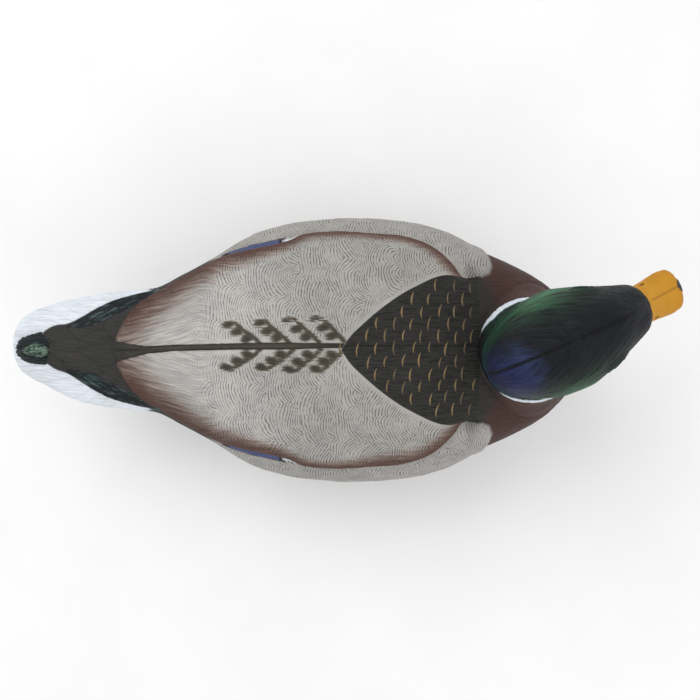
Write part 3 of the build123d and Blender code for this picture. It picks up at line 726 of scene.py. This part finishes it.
def eye_sockets(places, rise):
    """Relief with sockets, lids and brows, and the strengths of sockets and lids."""
    socket, lid = np.zeros((2, len(places)))
    for side in (-1, 1):
        away = places - np.array((EYE.x, side * EYE.y, EYE.z))
        axis = eye_axis(side)
        depth = away @ axis
        radius = np.linalg.norm(away - depth[:, None] * axis, axis=1)
        near = (np.abs(depth) < 8) & (side * places[:, 1] > 0)
        lid = np.maximum(lid, near * bell(radius - 5.9, 0.85))
        within = near * fade(radius, 4.4, 5.2)
        socket = np.maximum(socket, within)
        rise = rise + np.where(near, within * (-2.4 - depth - rise), 0)
        rise += 1.15 * near * step(away[:, 2], 2.2, 5.0) * span(radius, 4.9, 5.7, 7.2, 11.5)
    return rise + 0.5 * lid, socket, lid


def head_skin():
    """The carved and painted head."""
    places, normals, quads = merged_head()
    s, t, z = places.T
    out = np.abs(t)
    middle = through(BILL[:, 0], BILL[:, 3], s)
    feather_line = 63.0 - 0.05 * np.minimum(out, 11.5) ** 2 + 2.5 * np.maximum(out - 11.5, 0)
    feather_line += 4.0 * fade(z, 144, 150) - 7.0 * fade(z, 152, 162)
    bill = step(s - feather_line + 0.35 * lattice(t * 1.1, z * 1.1, 2), -0.5, 0.5)
    bill *= fade(z - through(BILL[:, 0], BILL[:, 4], s), 0.5, 2.0)
    plumed = 1 - bill

    # Directions along and across the feathers, which turn upright on the neck.
    lean = np.arctan2(out, z - np.interp(s, (-30, 0, 26, 47, 57), (157, 158, 160, 163, 166)))
    low_neck = fade(z, 128, 142)
    arc = lean * 25 * (1 - low_neck) + low_neck * (25 * 1.9 + (142 - z) * 0.3)
    around_neck = np.arctan2(t, s)
    comb_u = s * (1 - low_neck) + low_neck * z
    comb_v = (arc + 0.42 * s) * (1 - low_neck) + low_neck * 29 * around_neck
    strands = lattice(comb_u / 9, comb_v / 1.5, 4) + 0.6 * lattice(comb_u / 6, comb_v / 0.9 + 70, 8)

    # Relief, in mm along the normals.
    rise = plumed * (0.45 + 0.16 * strands)
    crown = plumed * fade(s, 40, 54)
    parting = bell(t, 0.85) * (z > 158)
    rise -= 0.6 * parting * crown * step(s, -30, -24)
    rise -= 0.28 * bell(t, 0.5) * bill * (z > 147) * span(s, 63, 65, 85, 87)
    gape = bell(z - middle + 0.6, 0.55) * step(s, 44, 48) * step(out, 3.5, 6)
    rise -= 0.75 * gape
    rise += 0.25 * bill * bell(z - middle - 0.7, 0.6) * step(out, 5, 7)
    nostril = np.hypot((s - 64.8) / 1.8, (z - 158.2 + 0.4 * (s - 64.8)) / 0.55) + 9 * (out < 4.5)
    rise += bill * (0.2 * bump(nostril, 1.5, 0.6) - 0.8 * fade(nostril, 0.55, 1.05))
    nail = fade(np.hypot((s - 88.5) / 3.3, t / 4.2), 0.85, 1.1) * (z > 144.3)
    rise += 0.35 * nail
    rise += 0.8 * bell(np.hypot((s - 14) / 16, (z - 152) / 10), 1) * step(out, 12, 22)  # cheek
    rise, socket, lid = eye_sockets(places, rise)

    # The white collar, open at the nape.
    from_nape = np.abs((np.degrees(around_neck) - 172.5 + 180) % 360 - 180)
    gap = fade(from_nape, 33, 41)
    collar_top = 123.6 + 7.2 * step(from_nape, 30, 58)
    ragged = 0.5 * lattice(around_neck * 16, z * 0, 9)
    collar = step(z, 123, 123.6) * fade(z + ragged - collar_top, -0.4, 0.4) * (1 - gap)
    rise += 0.6 * collar
    skin = places + normals * rise[:, None]
    skin[:, 2] = np.maximum(skin[:, 2], NECK_FOOT)

    side_green = step(lean, 0.75, 1.35) * (1 - 0.35 * fade(z, 135, 150))
    # A brighter green patch on each cheek; its greater strength on the left, lit cheek is painted light.
    patch = bell(s - 12, 19) * bell(lean - 1.25, 0.5) * np.where(t > 0, 1.0, 0.7)
    streaky = np.clip(0.55 + 0.6 * strands, 0, 1)
    blue = np.hypot(s + 19.5, (t + 3.5) * np.where(t > -3.5, 1.0, 0.8)) + 2.5 * lattice(s / 4, t / 4, 14)
    blue = fade(blue, 4, 18) * (z > 134)
    # The bill's ochre: a painted highlight on its upper half and painted shade below the gape line.
    ochre_with_painted_light = coated(
        rgb(192, 132, 26),
        (rgb(200, 143, 42), step(z - middle, 1, 8)),
        (rgb(150, 100, 40), 0.5 * step(middle - z, 0.5, 3)),
    )
    ridge = bell(t, 0.42) * bill * (z > middle) * span(s, 63, 67, 85, 87)
    paint = coated(
        rgb(21, 24, 29),
        (rgb(30, 66, 50), side_green * (0.55 + 0.45 * streaky)),
        # green cheek patch, with painted light on the left cheek
        (rgb(58, 122, 78), np.clip(patch * streaky * 1.1, 0, 0.95)),
        (rgb(47, 59, 96), blue * 0.9),
        (rgb(25, 33, 80), blue * fade(s + 0.5 * t, -27, -13) * 0.95),
        (rgb(10, 11, 13), np.clip(parting * 1.3, 0, 1) * crown),
        (rgb(20, 22, 24), plumed * np.clip(-0.55 * strands - 0.1, 0, 0.6)),
        (rgb(24, 27, 30), gap * fade(z, 128, 138)),
        (rgb(226, 234, 243), collar),
        (CHESTNUT * 0.9, fade(z, 122.9, 123.5) * (1 - gap)),
        (ochre_with_painted_light, bill),
        (rgb(70, 50, 24), gape * 0.85 * bill),
        (rgb(120, 80, 26), 0.75 * ridge),
        (rgb(30, 26, 22), fade(nostril, 0.7, 1.1)),
        (rgb(40, 54, 64), nail),
        (rgb(16, 18, 20), socket + 0.5 * lid),
    )
    comb = np.column_stack((comb_u, comb_v, 0 * s))
    data = {"paint": paint, "comb": comb, "barb": plumed * (1 - 0.7 * collar), "bill": bill}
    return new_object("head_skin", to_object_frame(skin), quads, "head", "head_plastic", **data)


head = head_skin()
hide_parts("head_shell")


def eye_piece(name, side):
    """A domed glass eye set in its socket."""
    back = ((4.3, -3.6), (4.6, -3.2), (4.6, -0.9), (4.5, -0.45), (4.1, 0.05))
    dome = ((3.5, 0.45), (2.7, 0.72), (1.8, 0.9), (0.9, 0.98))
    verts, faces = closed_form(lathe_rings(back + dome, 64))
    verts[-2:] = ((0, 0, -3.6), (0, 0, 1.0))
    r = np.hypot(verts[:, 0], verts[:, 1])
    paint = coated(rgb(46, 25, 14), (rgb(6, 6, 7), fade(r, 2.0, 2.5)), (rgb(12, 11, 11), step(r, 3.6, 4.2)))
    axis = eye_axis(side)
    turn = np.array(Vector((0, 0, 1)).rotation_difference(Vector(axis)).to_matrix())
    verts = verts @ turn.T + np.array((EYE.x, side * EYE.y, EYE.z)) - axis
    iris = span(r, 2.2, 2.6, 3.5, 4.0)
    return new_object(name, to_object_frame(verts), faces, "head", "eye_plastic", paint=paint, iris=iris)


eyes = [eye_piece("left_eye_dome", 1), eye_piece("right_eye_dome", -1)]
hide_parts("left_eye")
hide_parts("right_eye")


# ---- materials
class Shader:
    """A node material under construction."""

    def __init__(self, name, roughness=0.5, **sockets):
        self.material = bpy.data.materials.new(name)
        self.material.use_nodes = True
        self.nodes = self.material.node_tree.nodes
        self.links = self.material.node_tree.links
        self.surface = self.nodes["Principled BSDF"]
        self.surface.inputs["Roughness"].default_value = roughness
        for key, value in sockets.items():
            self.surface.inputs[key.replace("_", " ")].default_value = value

    def add(self, kind, inputs=(), **settings):
        """A node; its inputs are given by name or number, as values or as other nodes' outputs."""
        node = self.nodes.new("ShaderNode" + kind)
        for key, value in settings.items():
            setattr(node, key, value)
        for key, value in dict(inputs).items():
            if isinstance(value, bpy.types.NodeSocket):
                self.links.new(value, node.inputs[key])
            else:
                node.inputs[key].default_value = value
        return node

    def attribute(self, name, output="Fac"):
        return self.add("Attribute", attribute_name=name).outputs[output]

    def place(self):
        """Object coordinates in mm."""
        return self.vector("MULTIPLY", self.add("TexCoord").outputs["Object"], (1000, 1000, 1000))

    def vector(self, operation, a, b):
        return self.add("VectorMath", {0: a, 1: b}, operation=operation).outputs[0]

    def math(self, operation, a, b=0.0):
        return self.add("Math", {0: a, 1: b}, operation=operation).outputs[0]

    def plus(self, a, b):
        return self.math("ADD", a, b)

    def minus(self, a, b):
        return self.math("SUBTRACT", a, b)

    def times(self, a, b):
        return self.math("MULTIPLY", a, b)

    def ramp(self, value, low, high, out_low=0.0, out_high=1.0):
        inputs = {"Value": value, "From Min": low, "From Max": high, "To Min": out_low, "To Max": out_high}
        return self.add("MapRange", inputs, interpolation_type="SMOOTHSTEP").outputs["Result"]

    def noise(self, vector, scale, detail=3.0, roughness=0.55, output="Fac"):
        inputs = {"Vector": vector, "Scale": scale, "Detail": detail, "Roughness": roughness}
        return self.add("TexNoise", inputs).outputs[output]

    def strokes(self, vector, factors, detail=3.0, roughness=0.55):
        """Noise stretched by factors."""
        return self.noise(self.vector("MULTIPLY", vector, factors), 1.0, detail, roughness)

    def wander(self, vector, source, scale, amount):
        """A vector moved at random, by up to half the amount, in x and y."""
        shift = self.vector("SUBTRACT", self.noise(source, scale, 1.0, output="Color"), (0.5, 0.5, 0.5))
        return self.vector("ADD", vector, self.vector("MULTIPLY", shift, (amount, amount, 0)))

    def blend(self, a, b, factor, mode="MIX"):
        """Colour a with colour b over it."""
        a, b = ((*c, 1.0) if isinstance(c, np.ndarray) else c for c in (a, b))
        return self.add("Mix", {0: factor, 6: a, 7: b}, data_type="RGBA", blend_type=mode).outputs[2]

    def grey(self, value):
        """The grey colour of a value."""
        return self.add("CombineColor", {0: value, 1: value, 2: value}).outputs[0]

    def shaded(self, colour, value, amount=1.0):
        """A colour darkened by a grey value."""
        return self.blend(colour, self.grey(value), amount, "MULTIPLY")

    def finish(self, colour, roughness=None, height=None, depth=0.2):
        """Joins colour, roughness and a height of depth mm to the surface."""
        self.links.new(colour, self.surface.inputs["Base Color"])
        if roughness is not None:
            self.links.new(roughness, self.surface.inputs["Roughness"])
        if height is not None:
            node = self.add("Bump", {"Height": height, "Distance": depth * MM, "Strength": 1.0})
            self.links.new(node.outputs["Normal"], self.surface.inputs["Normal"])
        return self.material


def plumage(wings):
    """Feather paint: base coats, barbs and grain, with the folded wings on the body."""
    s = Shader("plumage" if wings else "feather_paint", Specular_IOR_Level=0.18)
    skin_place, comb_place = s.attribute("skin", "Vector"), s.attribute("comb", "Vector")
    colour = s.attribute("paint", "Color")
    combed = s.wander(comb_place, comb_place, 0.08, 3)
    streak = s.strokes(combed, (0.06, 1.35, 1), 2.0, 0.6)
    streak_line = s.times(s.ramp(streak, 0.4, 0.68), s.attribute("barb"))
    grain = s.noise(s.place(), 1.6, 3.0, 0.6)
    height = s.minus(s.times(grain, 0.16), s.times(streak_line, 0.6))
    if wings:
        groove = wavy_lines(s, skin_place)
        colour = folded_wings(s, colour, combed, skin_place)
        colour = s.shaded(colour, 0.2, s.times(groove, 0.8))
        height = s.minus(height, groove)
    colour = s.shaded(colour, 0.38, s.times(streak_line, 0.55))
    colour = s.shaded(colour, s.ramp(s.noise(skin_place, 0.03, 4.0), 0.3, 0.7, 0.9, 1.06))
    rough = s.minus(s.ramp(grain, 0.3, 0.7, 0.52, 0.66), s.times(s.attribute("sheen"), 0.22))
    return s.finish(colour, rough, height, 0.28)


def wavy_lines(s, skin_place):
    """Fine wavy lines in arcs, as on a drake's grey feathers."""
    moved = s.wander(skin_place, skin_place, 0.06, 7)
    moved = s.wander(moved, skin_place, 0.4, 0.8)
    inputs = {"Vector": moved, "Scale": 0.055, "Randomness": 0.85}
    cells = s.add("TexVoronoi", inputs, voronoi_dimensions="2D")
    ahead = s.vector("SUBTRACT", s.vector("SUBTRACT", moved, cells.outputs["Position"]), (14, 0, 0))
    ring = s.add("VectorMath", {0: ahead}, operation="LENGTH").outputs["Value"]
    wave = s.math("SINE", s.times(ring, tau / 1.6))
    patchy = s.ramp(s.noise(skin_place, 0.1, 2.0), 0.3, 0.6, 0.45, 1.0)
    broken = s.ramp(s.noise(moved, 0.36, 2.0), 0.36, 0.56, 0.4, 1.0)
    groove = s.times(s.times(s.ramp(wave, 0.1, 0.95), patchy), broken)
    return s.times(groove, s.attribute("fine"))


def folded_wings(s, under, combed, skin_place):
    """Grey wings with brown borders, barred feathers, the shaft and the dark mantle."""
    border = s.attribute("border")
    coarse = s.strokes(combed, (0.035, 0.8, 1), 4.0, 0.75)
    uneven = s.minus(coarse, 0.5)
    edge = s.plus(border, s.times(uneven, 0.9))
    present = s.ramp(border, 0.01, 0.35)
    split = s.add("SeparateXYZ", {0: skin_place})
    grey = s.blend(PALE_GREY, GREY, s.ramp(s.plus(split.outputs[0], s.times(coarse, 30)), -55, 0))
    grey = s.blend(grey, rgb(129, 107, 96), s.times(s.ramp(edge, 0.1, 0.7, 0.0, 0.85), present))
    grey = s.blend(grey, BROWN, s.times(s.ramp(edge, 0.38, 0.9), present))
    brush = s.times(s.minus(s.strokes(combed, (0.16, 1.1, 1), 3.0, 0.7), 0.5), 3.2)
    worn = s.attribute("worn")
    brush = s.minus(s.times(brush, s.ramp(worn, 0.0, 1.0, 1.0, 3.0)), worn)
    bars = s.plus(s.attribute("barred"), brush)
    tone = s.blend(OLIVE, OLIVE * 0.3, s.ramp(bars, 0.2, 1.7, 0.1, 1.0))
    grey = s.blend(grey, tone, s.times(s.ramp(bars, -0.8, 0.7), 0.95))
    colour = s.blend(under, grey, s.ramp(s.attribute("wing"), -0.2, 0.2))
    inside = s.plus(s.attribute("shaft"), s.times(uneven, 1.3))
    quill = s.blend(rgb(44, 39, 33), rgb(74, 69, 61), s.ramp(inside, 0.5, 1.5))
    quill = s.blend(quill, rgb(46, 42, 37), s.ramp(coarse, 0.5, 0.66, 0.0, 0.7))
    quill = s.blend(CHARCOAL, quill, s.ramp(split.outputs[0], -128, -104))
    colour = s.blend(colour, quill, s.ramp(inside, -0.35, 0.35))
    parting = s.ramp(s.math("ABSOLUTE", s.minus(split.outputs[1], 2.4)), 0.25, 0.7, 1.0, 0.0)
    brushed = s.strokes(combed, (0.11, 1.0, 1), 4.0, 0.75)
    dark = s.blend(CHARCOAL * 0.8, CHARCOAL * 0.38, s.ramp(brushed, 0.46, 0.6))
    dark = s.blend(dark, CHARCOAL * 0.3, parting)
    return s.blend(colour, dark, s.ramp(s.attribute("mantle"), -0.25, 0.25))


def head_paint():
    """Satin paint: combed strands on the feathers and faint mottling."""
    s = Shader("head_paint", Specular_IOR_Level=0.16)
    combed, place = s.attribute("comb", "Vector"), s.place()
    strand = s.strokes(s.wander(combed, combed, 0.09, 5), (0.1, 1.3, 1), 3.0, 0.65)
    dark_strand = s.times(s.ramp(strand, 0.42, 0.66), s.attribute("barb"))
    colour = s.shaded(s.attribute("paint", "Color"), 0.3, s.times(dark_strand, 0.6))
    colour = s.shaded(colour, s.ramp(s.noise(place, 0.14), 0.3, 0.7, 0.94, 1.04))
    grain = s.noise(place, 1.4, 4.0, 0.6)
    rough = s.minus(s.ramp(grain, 0.3, 0.7, 0.4, 0.56), s.times(s.attribute("bill"), 0.04))
    height = s.minus(s.times(grain, 0.16), s.times(dark_strand, 0.9))
    return s.finish(colour, rough, height, 0.24)


def eye_glass():
    """Glass over a painted iris with faint flecks."""
    s = Shader("eye_glass", Specular_IOR_Level=0.3)
    fleck = s.noise(s.place(), 2.6, 3.0, 0.7)
    shine = s.times(s.ramp(fleck, 0.5, 0.75, 0.0, 0.3), s.ramp(s.attribute("iris"), 0.0, 1.0))
    colour = s.blend(s.attribute("paint", "Color"), rgb(112, 66, 34), shine, "SCREEN")
    return s.finish(colour, s.ramp(fleck, 0.3, 0.7, 0.06, 0.12), fleck, 0.02)


def moulded(name, tone, scuffed, grain_scale=1.8, rough=(0.42, 0.6), depth=0.16, specular=0.4):
    """Moulded plastic or rubber: fine grain, cloudy colour, pale scuffs."""
    s = Shader(name, Specular_IOR_Level=specular)
    place = s.place()
    grain = s.noise(place, grain_scale, 4.0, 0.6)
    scratch = s.strokes(place, (0.18, 1.6, 1.2), 3.0, 0.7)
    wear = s.times(s.ramp(scratch, 0.6, 0.78), s.ramp(s.noise(place, 0.07, 2.0), 0.45, 0.65))
    colour = s.shaded(tone, s.ramp(s.noise(place, 0.05), 0.3, 0.7, 0.82, 1.12))
    colour = s.blend(colour, scuffed, s.times(wear, 0.5))
    height = s.minus(s.times(grain, 0.6), s.times(wear, 0.5))
    return s.finish(colour, s.ramp(grain, 0.3, 0.7, *rough), height, depth)


def metal(name, tone, stained, rough=(0.3, 0.48)):
    """Plated or bare metal: brushed streaks, dull spots and stains."""
    s = Shader(name, Metallic=1.0)
    place = s.place()
    brushed = s.strokes(place, (1.2, 1.2, 9), 3.0, 0.6)
    spots = s.noise(place, 0.7, 4.0, 0.65)
    stain = s.ramp(spots, 0.52, 0.72)
    colour = s.blend(tone, tone * 0.72, s.ramp(brushed, 0.35, 0.65))
    colour = s.blend(colour, stained, s.times(stain, 0.45))
    roughness = s.plus(s.ramp(brushed, 0.3, 0.7, *rough), s.times(stain, 0.18))
    return s.finish(colour, roughness, s.plus(brushed, s.times(spots, 0.5)), 0.05)


body.data.materials.append(plumage(True))
plain_feathers = plumage(False)
for piece in base_pieces:
    piece.data.materials.append(plain_feathers)
head.data.materials.append(head_paint())
glass = eye_glass()
for piece in eyes:
    piece.data.materials.append(glass)

finishes = {
    moulded("keel_plastic", rgb(58, 53, 45), rgb(120, 113, 100)): ("keel", "keel_plug"),
    moulded("bearing_plastic", rgb(79, 79, 79), rgb(128, 127, 124), 2.4, (0.34, 0.5), 0.08): (
        "neck_seat_ring", "bolt_tube", "neck_plug",
    ),
    moulded("rubber", rgb(27, 27, 28), rgb(72, 72, 72), 2.8, (0.62, 0.8), 0.12, 0.25): (
        "keel_gasket", "tube_seals", "seal_washer", "drain_seal",
    ),
    moulded("drain_cap_plastic", rgb(34, 33, 31), rgb(96, 93, 88), 1.6, (0.36, 0.52), 0.1): ("drain_plug",),
    metal("zinc_steel", rgb(188, 190, 192), rgb(140, 132, 116)): (
        "keel_screws", "head_bolt", "flat_washer", "lock_washer", "wing_nut",
    ),
    metal("ballast_steel", rgb(128, 124, 118), rgb(96, 70, 52), (0.45, 0.65)): ("ballast_bar",),
}
for finish, names in finishes.items():
    for name in names:
        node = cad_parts[name]
        node.data.materials.clear()
        node.data.materials.append(finish)

# ---- stage, light and camera
FLOOR = 3000  # mm from the middle to each side
corners = [(-FLOOR, -FLOOR, 0), (FLOOR, -FLOOR, 0), (FLOOR, FLOOR, 0), (-FLOOR, FLOOR, 0)]
floor = linked("floor", mesh_of("floor", corners, [(0, 1, 2, 3)]))
pale = Shader("pale_floor", 0.9)
tone = pale.ramp(pale.noise(pale.place(), 0.01), 0.3, 0.7, 0.93, 0.96)
floor.data.materials.append(pale.finish(pale.grey(tone)))

scene = bpy.context.scene
world = bpy.data.worlds.new("studio")
world.use_nodes = True
background = world.node_tree.nodes["Background"]
background.inputs["Color"].default_value = (1, 1, 1, 1)
background.inputs["Strength"].default_value = 0.82
scene.world = world
scene.view_settings.view_transform = "Standard"
for name, place, size, power in (("key", (-0.6, 0.7, 1.4), 1.0, 7.0), ("fill", (0.9, -0.8, 1.1), 1.2, 3.0)):
    light = bpy.data.lights.new(name, "AREA")
    light.size, light.energy = size, power
    lamp = linked(name, light)
    lamp.location = place
    lamp.rotation_euler = (Vector((0, 0, 0.08)) - Vector(place)).to_track_quat("-Z", "Y").to_euler()

# The photo's view from straight above: VIEW_WIDTH is seen across the plane at VIEW_PLANE's height.
CAMERA_HEIGHT, CAMERA_X, VIEW_WIDTH, VIEW_PLANE = 0.725, 0.009, 0.440, 0.075
SENSOR = 36.0
camera = bpy.data.cameras.new("camera")
camera.sensor_width = SENSOR
camera.lens = SENSOR * (CAMERA_HEIGHT - VIEW_PLANE) / VIEW_WIDTH
scene.camera = linked("camera", camera)
scene.camera.location = (CAMERA_X, 0, CAMERA_HEIGHT)
